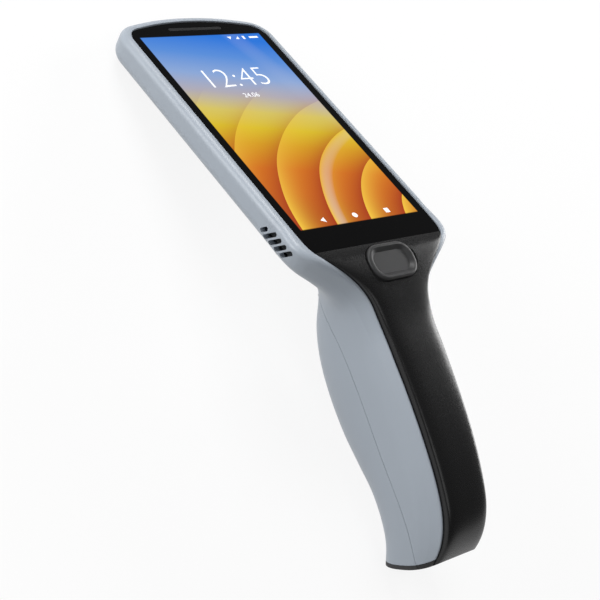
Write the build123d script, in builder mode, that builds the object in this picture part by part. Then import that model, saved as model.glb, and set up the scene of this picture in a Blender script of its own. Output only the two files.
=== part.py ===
from build123d import *
from math import cos, radians, sin
import os

os.makedirs("parts", exist_ok=True)

# Portable barcode data terminal: a thin display head on a pistol-like handle. It lies on its back,
# on the rear edge of the head and the rear corner of the handle's end. Millimetres.
# HEAD is the display's own plane: x across, y up the display, z out of the display.

# ---- driving dimensions -------------------------------------------------------------------------
rest_tilt = 20.41           # the display leans this far towards the head's far end
head_y, head_z = 53.27, 30.73  # the display's centre, from the middle of the footprint and over the table

display_w, display_h = 58.5, 104.0   # visible picture, 4.7 in at 16:9
glass_half_w = 33.1
glass_top, glass_bottom = 60.2, -62.5
glass_arch_r = 113.0        # bowed far edge of the glass
glass_corner_r = 7.0
glass_face = 0.35           # the glass stands this far over the picture's plane
glass_t = 1.5

rim_face = 0.8              # the housing's rim stands a little over the glass
rim_w = 3.6                 # glass edge to the outer wall
rim_round = 2.9
head_back = -10.6           # outer face of the head's back
back_round = 5.0
head_join = -46.0           # the flat head ends here and the shoulders begin
wall_t = 2.0
cover_step = 0.3            # the front cover lies this far under the rim
cover_skirt = 3.0           # the front cover reaches this far into the housing
cover_gap = 0.22            # groove between the front cover and the rim
seam = 0.15                 # gap between two outer mouldings

light_bar_y, light_bar_w, light_bar_h = 56.0, 26.0, 1.8
frame_t = 0.8
board_t = 0.8
shield_h = 1.5
frame_screws_at = [(x, y) for x in (-27.5, 27.5) for y in (-38.0, 4.0, 46.0)]
engine_w, engine_len, engine_h = 22.0, 12.0, 4.2
window_w, window_h = 25.0, 5.4
slot_w, slot_len, slot_pitch = 1.7, 7.4, 3.1
slot_lean = 51.0            # the sound slots lean back from the display's plane

battery_w, battery_len = 22.0, 66.0
battery_front, battery_rear = 7.5, -13.0
battery_r = 7.0
battery_lean = 24.7
battery_at = (-101.0, -40.3)  # where the battery's middle crosses the parting line

button_w, button_l, button_r = 22.0, 13.4, 6.2
button_at, button_lean = (-70.7, -1.0), 18.5
button_gap = 0.3
button_travel = 0.9

outer_half_w = glass_half_w + rim_w
head_t = rim_face - head_back

HEAD = Plane(origin=(0, head_y, head_z), x_dir=(1, 0, 0),
             z_dir=(0, sin(radians(rest_tilt)), cos(radians(rest_tilt))))
SIDE = Plane(origin=HEAD.origin, x_dir=HEAD.y_dir, z_dir=HEAD.x_dir)   # (y, z) of the head, looking along -x


def facing(y, z, lean=0.0):
    """A plane tangent to the front at (y, z) of the head; its y points up to the head, its z outwards."""
    a = radians(lean)
    outwards = HEAD.y_dir * -sin(a) + HEAD.z_dir * cos(a)
    return Plane(origin=HEAD.from_local_coords(Vector(0, y, z)), x_dir=HEAD.x_dir, z_dir=outwards)


def place(y, z=0.0, lean=0.0, x=0.0):
    """A plane across the handle at (y, z) of the head: y out of the front, z down the handle."""
    a = radians(lean)
    along = HEAD.y_dir * -cos(a) + HEAD.z_dir * -sin(a)
    return Plane(origin=HEAD.from_local_coords(Vector(x, y, z)), x_dir=HEAD.x_dir, z_dir=along)


def head_point(shape):
    """The middle of an edge or a face, in HEAD."""
    return HEAD.to_local_coords(shape.center())


def finish(builder, name):
    """Label one sub-part and write it."""
    builder.part.label = name
    export_step(builder.part, f"parts/{name}.step")


# ---- the handle's cross-sections ----------------------------------------------------------------
# Each station is a plane across the handle, through the front seam.
# y, z: where the seam is; lean: how far the plane leans; rim: half width at the front edge;
# wall: half width and depth where the side wall ends; hip: half width and depth where its rounding ends;
# turn: heading at the hip, 0 inwards and 90 rearwards; stem: half width of the grip; depth: at the middle;
# cover, crown: half width of the front cover and how far it bulges over the seam
# edge: rounding of the rim; sink: how far the rim drops under the seam
FIELDS = "y z lean rim wall wall_depth hip hip_depth turn stem depth cover crown edge sink".split()

join_step = 0.03            # the handle enters the head this much smaller all round
join_half_w = outer_half_w - join_step
join_z = rim_face - join_step
join_t = head_t - 2 * join_step
head_wall = (join_half_w, join_t - back_round)
head_hip = (join_half_w - back_round, join_t)
head_rest = (0, join_half_w - rim_round, *head_wall, *head_hip, 0, 15, join_t, glass_half_w, 0, rim_round, 0)

key_stations = [
    (-26, join_z, *head_rest),
    (-46, join_z, *head_rest),
    (-51, 0.7, 3, 33.8, 36.5, 6.4, 31.4, 11.8, 3, 15.0, 14.5, 32.9, 0.0, 2.8, 0.0),
    (-56, 0.6, 6, 34.2, 36.2, 6.4, 30.6, 12.4, 8, 14.0, 20.0, 32.9, 0.0, 2.8, 0.0),
    (-61.5, 0.6, 11, 33.4, 35.0, 6.4, 29.0, 13.4, 16, 13.6, 26.0, 32.2, 0.0, 2.6, 0.0),
    (-67, 0.0, 16, 29.3, 30.9, 6.4, 25.6, 14.4, 30, 13.6, 31.0, 27.8, 0.7, 2.2, 0.2),
    (-72.5, -2.6, 21, 22.0, 24.0, 6.2, 21.0, 14.2, 50, 13.8, 35.0, 20.7, 1.5, 1.4, 0.6),
    (-79, -6.9, 24, 15.1, 17.4, 6.0, 17.2, 13.4, 80, 14.2, 38.3, 14.5, 2.1, 0.7, 0.8),
    (-88, -12.5, 25, 12.45, 14.6, 5.4, 15.4, 12.0, 90, 14.8, 40.8, 11.95, 2.5, 0.5, 1.0),
    (-99, -17.7, 25, 11.95, 13.8, 5.4, 15.0, 12.0, 93, 15.3, 42.3, 11.45, 2.8, 0.45, 1.0),
    (-113, -24.4, 27, 11.65, 13.3, 5.4, 14.6, 12.0, 93, 15.5, 42.0, 11.15, 2.7, 0.45, 1.0),
    (-126, -31.4, 31, 11.4, 13.0, 5.4, 14.4, 12.0, 93, 15.3, 39.5, 10.9, 2.6, 0.45, 1.0),
    (-137.5, -38.8, 36, 10.95, 12.7, 5.2, 14.2, 11.6, 93, 14.9, 36.2, 10.45, 2.5, 0.45, 1.0),
    (-146, -46.2, 38, 10.55, 12.3, 5.0, 13.8, 11.0, 93, 14.5, 33.6, 10.05, 2.7, 0.45, 1.0),
    (-151, -53.8, 39, 10.3, 12.0, 4.8, 13.4, 10.4, 93, 14.1, 30.6, 9.8, 2.5, 0.45, 1.0),
    (-153, -61.5, 39, 10.2, 11.9, 4.6, 13.0, 9.6, 93, 13.7, 27.4, 9.7, 2.2, 0.45, 1.0),
    (-152.8, -69, 34, 10.1, 11.7, 4.4, 12.6, 8.8, 93, 13.2, 23.6, 9.6, 1.8, 0.45, 1.0),
    (-151, -76, 30, 10.0, 11.5, 4.2, 12.4, 8.0, 93, 12.8, 21.0, 9.5, 1.4, 0.45, 1.0),
]
section_pitch = 4.0


class Station:
    def __init__(self, values):
        self.__dict__.update(zip(FIELDS, values))
        self.plane = place(self.y, self.z, self.lean)


def along_seam(keys):
    """Distance of each key station from the first, along the seam."""
    run = [0.0]
    for (y0, z0, *_), (y1, z1, *_) in zip(keys, keys[1:]):
        run.append(run[-1] + ((y1 - y0) ** 2 + (z1 - z0) ** 2) ** 0.5)
    return run


def eased(keys):
    """Stations at an even pitch, one of them at head_join; each value runs smoothly through the keys."""
    run = along_seam(keys)
    slopes = []
    for i in range(len(keys)):
        a, b = max(i - 1, 0), min(i + 1, len(keys) - 1)
        slopes.append([(v1 - v0) / (run[b] - run[a]) for v0, v1 in zip(keys[a], keys[b])])
    slopes[0] = [0.0 if n != 0 else -1.0 for n in range(len(FIELDS))]
    slopes[1] = slopes[0]
    lead = round(run[1] / section_pitch)
    count = round((run[-1] - run[1]) / section_pitch)
    places = [run[1] * n / lead for n in range(lead)]
    places += [run[1] + (run[-1] - run[1]) * n / count for n in range(count + 1)]
    result = []
    for at in places:
        i = max(k for k in range(len(keys) - 1) if run[k] <= at + 1e-9)
        span = run[i + 1] - run[i]
        t = (at - run[i]) / span
        result.append(Station([
            (1 + 2 * t) * (1 - t) ** 2 * v0 + t * (1 - t) ** 2 * span * m0
            + t * t * (3 - 2 * t) * v1 + t * t * (t - 1) * span * m1
            for v0, v1, m0, m1 in zip(keys[i], keys[i + 1], slopes[i], slopes[i + 1])]))
    return result


stations = eased(key_stations)


def cover_half(y):
    """Half width of the front cover at y."""
    above = min((s for s in stations if s.y >= y), key=lambda s: s.y)
    below = max((s for s in stations if s.y < y), key=lambda s: s.y)
    return below.cover + (above.cover - below.cover) * (y - below.y) / (above.y - below.y)


glass_foot_w = cover_half(glass_bottom)      # the glass ends as wide as the cover that follows it
foot_slope = (cover_half(glass_bottom + 1) - cover_half(glass_bottom - 1), -2)


def mirrored(points):
    return [(-u, v) for u, v in reversed(points)]


def skin_section(s, inset=0.0):
    """The grey body's cross-section: rim, wall, rounding, concave underside or grip side, and back."""
    arc = 0.5523            # control length of a quarter circle
    a = radians(s.turn)
    r = max(s.edge - inset, 0.3)
    rim, wall_u, wall_v = s.rim - inset, s.wall - inset, s.wall_depth
    top = 1.0 if inset else -s.sink      # a hollow runs out through the front
    low = -s.sink - r
    hip_u, hip_v = s.hip, s.hip_depth
    hip_u -= inset * sin(a)
    hip_v -= inset * cos(a)
    stem, depth = s.stem - inset, s.depth - inset
    slope = (wall_u - rim - r) / (wall_v + low)
    lean_u = min(slope, 0.25 if s.turn > 45 else 0.0)
    bend = 0.5 ** 0.5 * arc * ((wall_u - hip_u) ** 2 + (hip_v - wall_v) ** 2) ** 0.5
    rest = depth - hip_v
    reach = max(0.35 * rest, 1.0) * sin(a) + 0.62 * (hip_u - stem) * cos(a)
    edge = [(rim, top), (rim + arc * r, top), (rim + r - slope * arc * r, low + arc * r), (rim + r, low)]
    flank = [(rim + r, low), (wall_u, -wall_v)]
    corner = [(wall_u, -wall_v), (wall_u + lean_u * bend, -wall_v - bend),
              (hip_u + cos(a) * bend, -hip_v + sin(a) * bend), (hip_u, -hip_v)]
    back = [(hip_u, -hip_v), (hip_u - cos(a) * reach, -hip_v - sin(a) * reach), (stem, -hip_v - 0.5 * rest),
            (0.98 * stem, -hip_v - 0.86 * rest), (0.5 * stem, -depth), (0, -depth)]
    outline = [Line((-rim, top), (rim, top))]
    outline += [Bezier(*edge), Line(*flank), Bezier(*corner), Bezier(*back)]
    outline += [Bezier(*mirrored(back)), Bezier(*mirrored(corner))]
    outline += [Line(*mirrored(flank)), Bezier(*mirrored(edge))]
    return s.plane * Face(Wire(outline))


def cover_section(s, grow=0.0, drop=cover_skirt, thin=0.0):
    """The front cover's cross-section: a low crown on upright sides, over a straight underside."""
    half = s.cover + grow
    top = s.crown - cover_step - thin
    side_top = top - 0.42 * (s.crown + s.sink)
    crown = [(half, side_top), (half - 0.1, top - 0.09 * (s.crown + s.sink)),
             (0.78 * half, top), (0.3 * half, top), (0, top)]
    outline = [Line((half, -drop), (half, side_top)), Bezier(*crown), Bezier(*mirrored(crown)),
               Line((-half, side_top), (-half, -drop)), Line((-half, -drop), (half, -drop))]
    return s.plane * Face(Wire(outline))


handle = [s for s in stations if s.y < head_join + 9]
lower = [s for s in stations if s.y < glass_bottom + 5]
skin_sections = [skin_section(s) for s in handle]
bore_sections = [skin_section(s, wall_t) for s in handle]
cover_sections = [cover_section(s) for s in lower]
cover_space_sections = [cover_section(s, grow=cover_gap, drop=cover_skirt + 0.1, thin=-1.5) for s in lower]
cover_bore_sections = [cover_section(s, grow=-1.6, drop=cover_skirt + 1, thin=1.6) for s in lower]


# ---- side-view lines, as (y, z) of the head -----------------------------------------------------
# The battery cover parts from the housing along a line down the side, round the hinge barrel at its top.
hinge = (-59.6, -26.4)
barrel_r = 2.2
part_lean = radians(18)     # the parting line leaves the barrel at this angle
part_line = [(-86.5, -33.2), (-116.6, -48.0), (-140.7, -60.9), (-158.0, -76.5)]
heel = [(-155.0, -50.0), (-154.4, -60.0), (-150.6, -68.2), (-145.9, -74.0), (-140.5, -79.5), (-133.0, -86.5)]
heel_t = 1.8                # black heel under the grey end


def side_region(*lines, half=42):
    """A side-view outline, extruded across the whole width."""
    with BuildPart() as block:
        with BuildSketch(SIDE.offset(-half)):
            with BuildLine():
                for line in lines:
                    line()
            make_face()
        extrude(amount=2 * half)
    return block.part


def behind_parting(gap=0.0):
    """The space of the battery cover: behind the parting line, round the hinge barrel."""
    r = barrel_r + gap
    top = (hinge[0] - r * sin(part_lean), hinge[1] + r * cos(part_lean))
    side = (hinge[0] + r * cos(radians(36)), hinge[1] + r * sin(radians(36)))
    out = (hinge[0] + r, hinge[1])
    line = [(y - 0.45 * gap, z + 0.9 * gap) for y, z in part_line]
    return side_region(
        lambda: Spline(top, *line, tangents=[(-cos(part_lean), -sin(part_lean)), (-0.75, -0.66)]),
        lambda: ThreePointArc(top, side, out),
        lambda: Polyline(out, (hinge[0] + 10, hinge[1] - 6), (-90, -120), (-165, -120), line[-1]))


def above_heel(inward=0.0):
    """Everything above the handle's end; inward draws the line back from the outside of the heel."""
    line = [(y + 0.9 * inward, z + 0.35 * inward) for y, z in heel]
    return side_region(
        lambda: Spline(*line),
        lambda: Polyline(line[-1], (-60, -110), (-20, 40), (-155, 40), line[0]))


def head_slab(grow, low, high):
    """The head's outline, grown from the glass edge: straight sides, bowed far edge, square at the handle."""
    half = glass_half_w + grow
    top = glass_top + grow
    r = glass_arch_r + grow
    side_y = top - r + (r * r - half * half) ** 0.5
    with BuildPart() as slab:
        with BuildSketch(HEAD.offset(low)) as outline:
            with BuildLine():
                ThreePointArc((half, side_y), (0, top), (-half, side_y))
                Polyline((-half, side_y), (-half, head_join), (half, head_join), (half, side_y))
            make_face()
            fillet(outline.vertices().filter_by(lambda v: HEAD.to_local_coords(v.center()).Y > 0),
                   glass_corner_r + grow)
        extrude(amount=high - low)
    return slab.part


def pocket(grow, low, high):
    """The opening for the glass and what lies under it, down to the front cover."""
    half = glass_half_w + grow
    foot = glass_foot_w + grow
    foot_y = glass_bottom - grow
    waist = cover_half(-55) + grow
    with BuildPart() as hole:
        add(head_slab(grow, low, high))
        with BuildSketch(HEAD.offset(low)):
            with BuildLine():
                Polyline((half, head_join + 1), (-half, head_join + 1), (-half, head_join))
                Spline((-half, head_join), (-waist, -55), (-foot, foot_y), tangents=[(0, -1), foot_slope])
                Line((-foot, foot_y), (foot, foot_y))
                Spline((foot, foot_y), (waist, -55), (half, head_join),
                       tangents=[(foot_slope[0], -foot_slope[1]), (0, 1)])
                Line((half, head_join), (half, head_join + 1))
            make_face()
        extrude(amount=high - low)
    return hole.part


# ---- shared blocks ------------------------------------------------------------------------------
with BuildPart() as full_skin:
    loft(skin_sections)
    split(bisect_by=place(head_join + 1.5), keep=Keep.TOP)

with BuildPart() as shell_skin:
    add(full_skin.part)
    add(above_heel(heel_t), mode=Mode.INTERSECT)

with BuildPart() as shell_bore:
    loft(bore_sections)
    split(bisect_by=place(head_join + 1), keep=Keep.TOP)
    add(above_heel(heel_t + wall_t), mode=Mode.INTERSECT)

with BuildPart() as cover_space:
    loft(cover_space_sections)
    split(bisect_by=place(glass_bottom), keep=Keep.TOP)


# ================================================================================================
# The display head
# ================================================================================================
display_t = 2.2
gasket_t = 0.3
glass_back = glass_face - glass_t
inner_floor = head_back + wall_t

with BuildPart() as touch_glass:
    add(pocket(0.0, glass_back, glass_face))
    face_edges = touch_glass.edges().filter_by(lambda e: head_point(e).Z > glass_face - 0.01)
    chamfer(face_edges.filter_by(lambda e: head_point(e).Y > glass_bottom + 0.1), 0.25)
    with BuildSketch(HEAD.offset(glass_face)):
        with Locations((0, light_bar_y)):
            SlotOverall(light_bar_w, light_bar_h)
    extrude(amount=-glass_t, mode=Mode.SUBTRACT)
finish(touch_glass, "touch_glass")

with BuildPart() as status_light_bar:
    with BuildSketch(HEAD.offset(glass_face - 0.05)):
        with Locations((0, light_bar_y)):
            SlotOverall(light_bar_w - 0.2, light_bar_h - 0.2)
    extrude(amount=-glass_t - 1.2)
finish(status_light_bar, "status_light_bar")

with BuildPart() as glass_gasket:
    add(pocket(-0.4, glass_back - gasket_t, glass_back))
    add(pocket(-2.0, glass_back - gasket_t, glass_back), mode=Mode.SUBTRACT)
finish(glass_gasket, "glass_gasket")

display_plane = HEAD.offset(glass_back - 0.02)
with BuildPart() as display_module:
    with BuildSketch(display_plane):
        with Locations((0, -0.7)):
            RectangleRounded(display_w + 2.6, display_h + 3.0, 3.0)
    extrude(amount=-display_t)
finish(display_module, "display_module")

frame_face = glass_back - 0.02 - display_t - 0.1
with BuildPart() as mid_frame:
    with BuildSketch(HEAD.offset(frame_face)) as plate:
        RectangleRounded(61.0, 109.0, 3.0)
        with Locations((0, 51.5)):
            RectangleRounded(30.0, 9.0, 1.5, mode=Mode.SUBTRACT)
        with Locations((0, -52.5)):
            RectangleRounded(20.0, 12.0, 1.5, mode=Mode.SUBTRACT)
        with GridLocations(30.0, 34.0, 2, 3):
            SlotOverall(18.0, 6.0, rotation=90, mode=Mode.SUBTRACT)
    extrude(amount=-frame_t)
    with BuildSketch(HEAD.offset(frame_face - frame_t)):
        with Locations(*frame_screws_at):
            Circle(2.4)
    extrude(amount=-1.2)
    with Locations(HEAD.offset(frame_face)):
        with Locations(*frame_screws_at):
            CounterBoreHole(0.95, 1.7, 1.0)
finish(mid_frame, "mid_frame")

board_face = frame_face - frame_t - 1.3
with BuildPart() as main_board:
    with BuildSketch(HEAD.offset(board_face)):
        with Locations((0, -4)):
            RectangleRounded(49.0, 92.0, 2.0)
    extrude(amount=-board_t)
finish(main_board, "main_board")

with BuildPart() as board_shields:
    with BuildSketch(HEAD.offset(board_face - board_t)):
        with Locations((-10, 8)):
            RectangleRounded(24.0, 30.0, 1.0)
        with Locations((13, 22)):
            RectangleRounded(15.0, 18.0, 1.0)
        with Locations((12, -16)):
            RectangleRounded(18.0, 20.0, 1.0)
    extrude(amount=-shield_h)
finish(board_shields, "board_shields")

# ---- scan engine and window at the far end ------------------------------------------------------
window_z = (-1.7 - window_h, -1.7)
end_r = glass_arch_r + rim_w
end_y = glass_top + rim_w


def end_arc(half, out_by, low, high):
    """A curved plate that follows the bowed far end, between two depths under its face."""
    with BuildPart() as plate:
        with BuildSketch(HEAD.offset(low)):
            with Locations((0, end_y - end_r)):
                Circle(end_r - out_by[0])
                Circle(end_r - out_by[1], mode=Mode.SUBTRACT)
            with Locations((0, end_y - 5)):
                Rectangle(2 * half, 30, mode=Mode.INTERSECT)
        extrude(amount=high - low)
    return plate.part


with BuildPart() as scan_window:
    add(end_arc(window_w / 2, (0.3, 1.7), *window_z))
finish(scan_window, "scan_window")

with BuildPart() as window_gasket:
    add(end_arc(window_w / 2, (1.75, 2.25), *window_z))
    add(end_arc(window_w / 2 - 1.0, (1.0, 4.0), window_z[0] + 0.6, window_z[1] - 0.6), mode=Mode.SUBTRACT)
finish(window_gasket, "window_gasket")

engine_y = end_y - 4.4 - engine_len / 2
engine_top = -3.5
with BuildPart() as scan_engine:
    with BuildSketch(HEAD.offset(engine_top)):
        with Locations((0, engine_y)):
            RectangleRounded(engine_w, engine_len, 0.8)
    extrude(amount=-engine_h)
    nose_at = Vector(0, engine_y + engine_len / 2, engine_top - engine_h / 2)
    nose = Plane(origin=HEAD.from_local_coords(nose_at), x_dir=HEAD.x_dir, z_dir=HEAD.y_dir)
    with BuildSketch(nose):
        with Locations((-5, 0)):
            Circle(1.8)
        with Locations((5, 0)):
            Rectangle(6.0, 3.2)
    extrude(amount=-1.0, mode=Mode.SUBTRACT)
finish(scan_engine, "scan_engine")

with BuildPart() as scan_lenses:
    with BuildSketch(nose.offset(-1.0)):
        with Locations((-5, 0)):
            Circle(1.8)
        with Locations((5, 0)):
            Rectangle(6.0, 3.2)
    extrude(amount=0.8)
finish(scan_lenses, "scan_lenses")

# ---- speakers, antennas, motor ------------------------------------------------------------------
slot_mid_y, slot_mid_z = -49.9, -5.5
for side, name in ((-1, "left"), (1, "right")):
    speaker_floor = inner_floor + 0.3
    with BuildPart() as speaker:
        with BuildSketch(HEAD.offset(speaker_floor)):
            with Locations((side * 28.6, -50.2)):
                RectangleRounded(8.0, 16.0, 1.0)
        extrude(amount=3.6)
    finish(speaker, f"speaker_{name}")
    with BuildPart() as speaker_mesh:
        with BuildSketch(Plane(origin=HEAD.from_local_coords(Vector(side * 32.7, -49.6, -5.4)),
                               x_dir=HEAD.y_dir, z_dir=HEAD.x_dir)):
            RectangleRounded(13.4, 4.0, 0.8)
        extrude(amount=side * 0.5)
    finish(speaker_mesh, f"speaker_mesh_{name}")
    with BuildPart() as antenna:
        with BuildSketch(HEAD.offset(inner_floor + 2.6)):
            with Locations((side * 33.5, 12)):
                Rectangle(0.8, 40)
            with Locations((side * 32.0, 30)):
                Rectangle(3.0, 2.0)
        extrude(amount=2.4)
    finish(antenna, f"antenna_{name}")

with BuildPart() as vibration_motor:
    with BuildSketch(HEAD.offset(inner_floor + 0.05)):
        with Locations((-16, -34)):
            Circle(4.0)
    extrude(amount=1.4)
finish(vibration_motor, "vibration_motor")

with BuildPart() as backup_cell:
    with BuildSketch(HEAD.offset(board_face - board_t)):
        with Locations((-10, -18)):
            Circle(5.0)
    extrude(amount=-1.6)
finish(backup_cell, "backup_cell")

contact_row_y = 41.0
with BuildPart() as dock_contacts:
    with BuildSketch(HEAD.offset(head_back + 0.1)):
        with Locations((0, contact_row_y)):
            with GridLocations(9.0, 0, 4, 1):
                RectangleRounded(3.0, 5.0, 0.6)
    extrude(amount=2.0)
finish(dock_contacts, "dock_contacts")

screw_top = frame_face - 0.05
with BuildPart() as frame_screws:
    with Locations(HEAD.offset(screw_top)):
        with Locations(*frame_screws_at):
            Cylinder(1.6, 0.9, align=(Align.CENTER, Align.CENTER, Align.MAX))
            Cylinder(0.8, 4.0, align=(Align.CENTER, Align.CENTER, Align.MAX))
            Cylinder(0.5, 0.4, align=(Align.CENTER, Align.CENTER, Align.MAX), mode=Mode.SUBTRACT)
finish(frame_screws, "frame_screws")

standoff_top = frame_face - frame_t - 1.2 - 0.05
with BuildPart() as frame_inserts:
    with BuildSketch(HEAD.offset(standoff_top)):
        with Locations(*frame_screws_at):
            Circle(1.6)
            Circle(0.85, mode=Mode.SUBTRACT)
    extrude(amount=-2.4)
finish(frame_inserts, "frame_inserts")


def ribbon(half_w, thickness, bend_r, *points):
    """A flat flexible cable that follows a side-view line with rounded bends."""
    with BuildPart() as tape:
        with BuildSketch(SIDE.offset(-half_w)):
            with BuildLine() as path:
                FilletPolyline(*points, radius=bend_r)
            trace(path.line, line_width=thickness)
        extrude(amount=2 * half_w)
    return tape.part


# ================================================================================================
# The handle's front: cover, button and trigger parts
# ================================================================================================
BUTTON = facing(*button_at, button_lean)
BAY = Plane(origin=HEAD.from_local_coords(Vector(0, *battery_at)), x_dir=place(0, 0, battery_lean).z_dir,
            z_dir=-HEAD.x_dir)     # x down the handle, y towards its front
wall_front = battery_front + 0.6          # bay floor, in front of the battery
wall_back = wall_front + 2.2
cover_screws_at = (-20.0, 22.0)


def bay_level(y):
    """A plane along the handle at depth y of the bay; its z points to the front, its y up to the head."""
    return Plane(origin=BAY.from_local_coords(Vector(0, y, 0)), x_dir=HEAD.x_dir, z_dir=BAY.y_dir)


def bay_block(x_low, x_high, y_low, y_high, half):
    """A block across the handle, from its place in the bay's side view."""
    with BuildPart() as block:
        with BuildSketch(BAY.offset(-half)):
            with Locations(((x_low + x_high) / 2, (y_low + y_high) / 2)):
                Rectangle(x_high - x_low, y_high - y_low)
        extrude(amount=2 * half)
    return block.part


def bay_depth(shape):
    """How far in front of the bay's middle a shape's centre is."""
    return BAY.to_local_coords(shape.center()).Y


def button_outline(grow):
    return RectangleRounded(button_w + 2 * grow, button_l + 2 * grow, button_r + grow)


with BuildPart() as cover_hollow:
    loft(cover_bore_sections)
    split(bisect_by=place(glass_bottom - 2.0), keep=Keep.TOP)

with BuildPart() as heel_plate:
    add(full_skin.part)
    add(above_heel(0.0), mode=Mode.INTERSECT)
    add(above_heel(heel_t - 0.1), mode=Mode.SUBTRACT)

with BuildPart() as front_cover:
    loft(cover_sections)
    add(cover_hollow.part, mode=Mode.SUBTRACT)
    with BuildSketch(BUTTON.offset(-3.0)):
        button_outline(2.6)
    extrude(amount=1.6)
    for x, height in zip(cover_screws_at, (11.2, 9.2)):
        with BuildSketch(bay_level(wall_back + 0.1)):
            with Locations((0, -x)):
                Circle(2.6)
        extrude(amount=height)
    split(bisect_by=place(glass_bottom - seam), keep=Keep.TOP)
    add(above_heel(0.0), mode=Mode.INTERSECT)
    add(heel_plate.part)
    add(behind_parting(seam), mode=Mode.SUBTRACT)
    with BuildSketch(bay_level(wall_back)):
        with Locations(*[(0, -x) for x in cover_screws_at]):
            Circle(0.85)
    extrude(amount=8, mode=Mode.SUBTRACT)
    with BuildSketch(BUTTON.offset(-6)):
        button_outline(button_gap)
    extrude(amount=12, mode=Mode.SUBTRACT)
    with BuildSketch(BUTTON.offset(-0.5)):
        button_outline(button_gap)
    extrude(amount=3, taper=-45, mode=Mode.SUBTRACT)
    with BuildSketch(BUTTON.offset(-7)):
        button_outline(1.3)
    extrude(amount=4.0, mode=Mode.SUBTRACT)
finish(front_cover, "front_cover")

button_top, flange_top, button_low = 0.9, -3.1, -4.3
dish_depth = 1.0


def top_edges(builder):
    return builder.edges().filter_by(lambda e: BUTTON.to_local_coords(e.center()).Z > button_top - 0.01)


with BuildPart() as scan_button:
    with BuildSketch(BUTTON.offset(button_low)):
        button_outline(0.0)
    extrude(amount=button_top - button_low)
    fillet(top_edges(scan_button), 0.8)
    with BuildSketch(BUTTON.offset(button_low)):
        button_outline(0.7)
    extrude(amount=flange_top - button_low)
    with BuildSketch(BUTTON.offset(button_top)):
        button_outline(-1.3)
    extrude(amount=-dish_depth, taper=55, mode=Mode.SUBTRACT)
    with BuildSketch(BUTTON.offset(button_low)):
        button_outline(-1.6)
    extrude(amount=2.6, mode=Mode.SUBTRACT)
    with BuildSketch(BUTTON.offset(button_low)):
        Circle(3.0)
    extrude(amount=3.6)
finish(scan_button, "scan_button")

with BuildPart() as button_pad:
    with BuildSketch(BUTTON.offset(button_low)):
        button_outline(0.4)
    extrude(amount=-0.5)
    with BuildSketch(BUTTON.offset(button_low - 0.5)):
        Circle(1.6)
    extrude(amount=-0.5)
finish(button_pad, "button_pad")

switch_top = button_low - 1.0 - button_travel - 0.1
with BuildPart() as trigger_switch:
    with BuildSketch(BUTTON.offset(switch_top - 0.5)):
        RectangleRounded(6.0, 6.0, 0.6)
    extrude(amount=-1.3)
    with BuildSketch(BUTTON.offset(switch_top - 0.5)):
        Circle(1.5)
    extrude(amount=0.5)
finish(trigger_switch, "trigger_switch")

trigger_face = switch_top - 1.8
with BuildPart() as trigger_board:
    with BuildSketch(BUTTON.offset(trigger_face)):
        RectangleRounded(24.0, 15.0, 1.5)
    extrude(amount=-0.8)
finish(trigger_board, "trigger_board")

with BuildPart() as trigger_flex:
    add(ribbon(4.0, 0.25, 4.0, (-61.8, -7.75), (-59.3, -6.92), (-49.5, -6.5)))
finish(trigger_flex, "trigger_flex")

with BuildPart() as display_flex:
    add(ribbon(8.0, 0.2, 0.8, (-52.4, -3.58), (-55.6, -3.58), (-55.6, -5.36), (-47.0, -5.36)))
finish(display_flex, "display_flex")

with BuildPart() as front_cover_screws:
    with BuildSketch(bay_level(wall_front + 0.1)):
        with Locations(*[(0, -x) for x in cover_screws_at]):
            Circle(1.9)
    extrude(amount=1.0)
    with BuildSketch(bay_level(wall_front + 0.1)):
        with Locations(*[(0, -x) for x in cover_screws_at]):
            Circle(0.8)
    extrude(amount=8.0)
    with BuildSketch(bay_level(wall_front + 0.1)):
        with Locations(*[(0, -x) for x in cover_screws_at]):
            RegularPolygon(0.9, 6)
    extrude(amount=0.5, mode=Mode.SUBTRACT)
finish(front_cover_screws, "front_cover_screws")

# ================================================================================================
# Battery, its cover and the cover's screw
# ================================================================================================
with BuildPart() as battery_pack:
    add(bay_block(-battery_len / 2, battery_len / 2, battery_rear, battery_front, battery_w / 2))
    long_edges = battery_pack.edges().filter_by(lambda e: abs(e.length - battery_len) < 0.01)
    fillet(long_edges.filter_by(lambda e: bay_depth(e) < 0), battery_r)
    fillet(battery_pack.edges().filter_by(lambda e: bay_depth(e) > battery_front - 0.01), 0.8)
finish(battery_pack, "battery_pack")

block_low = -battery_len / 2 - 2.6
with BuildPart() as battery_contact_block:
    add(bay_block(block_low, block_low + 1.6, -2.0, 6.0, 8.0))
finish(battery_contact_block, "battery_contact_block")

with BuildPart() as battery_contacts:
    with BuildSketch(Plane(origin=BAY.from_local_coords(Vector(block_low + 1.6, 2.0, 0)),
                           x_dir=HEAD.x_dir, z_dir=BAY.x_dir)):
        with GridLocations(4.0, 0, 4, 1):
            Circle(0.7)
    extrude(amount=0.9)
finish(battery_contacts, "battery_contacts")

screw_lean = 23.5
screw_at = (-141.7, -62.0)
screw_axis = HEAD.y_dir * sin(radians(screw_lean)) - HEAD.z_dir * cos(radians(screw_lean))
SCREW = Plane(origin=HEAD.from_local_coords(Vector(0, *screw_at)), x_dir=HEAD.x_dir, z_dir=screw_axis)
head_low, head_high = 14.6, 16.6
screw_r = 1.1


def rod(radius, low, high):
    """A round bar on the cover screw's axis."""
    with BuildPart() as bar:
        with BuildSketch(SCREW.offset(low)):
            Circle(radius)
        extrude(amount=high - low)
    return bar.part


def pin_bar(radius, half):
    """A round bar on the hinge axis."""
    with BuildPart() as bar:
        with BuildSketch(SIDE.offset(-half)):
            with Locations(hinge):
                Circle(radius)
        extrude(amount=2 * half)
    return bar.part


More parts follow.
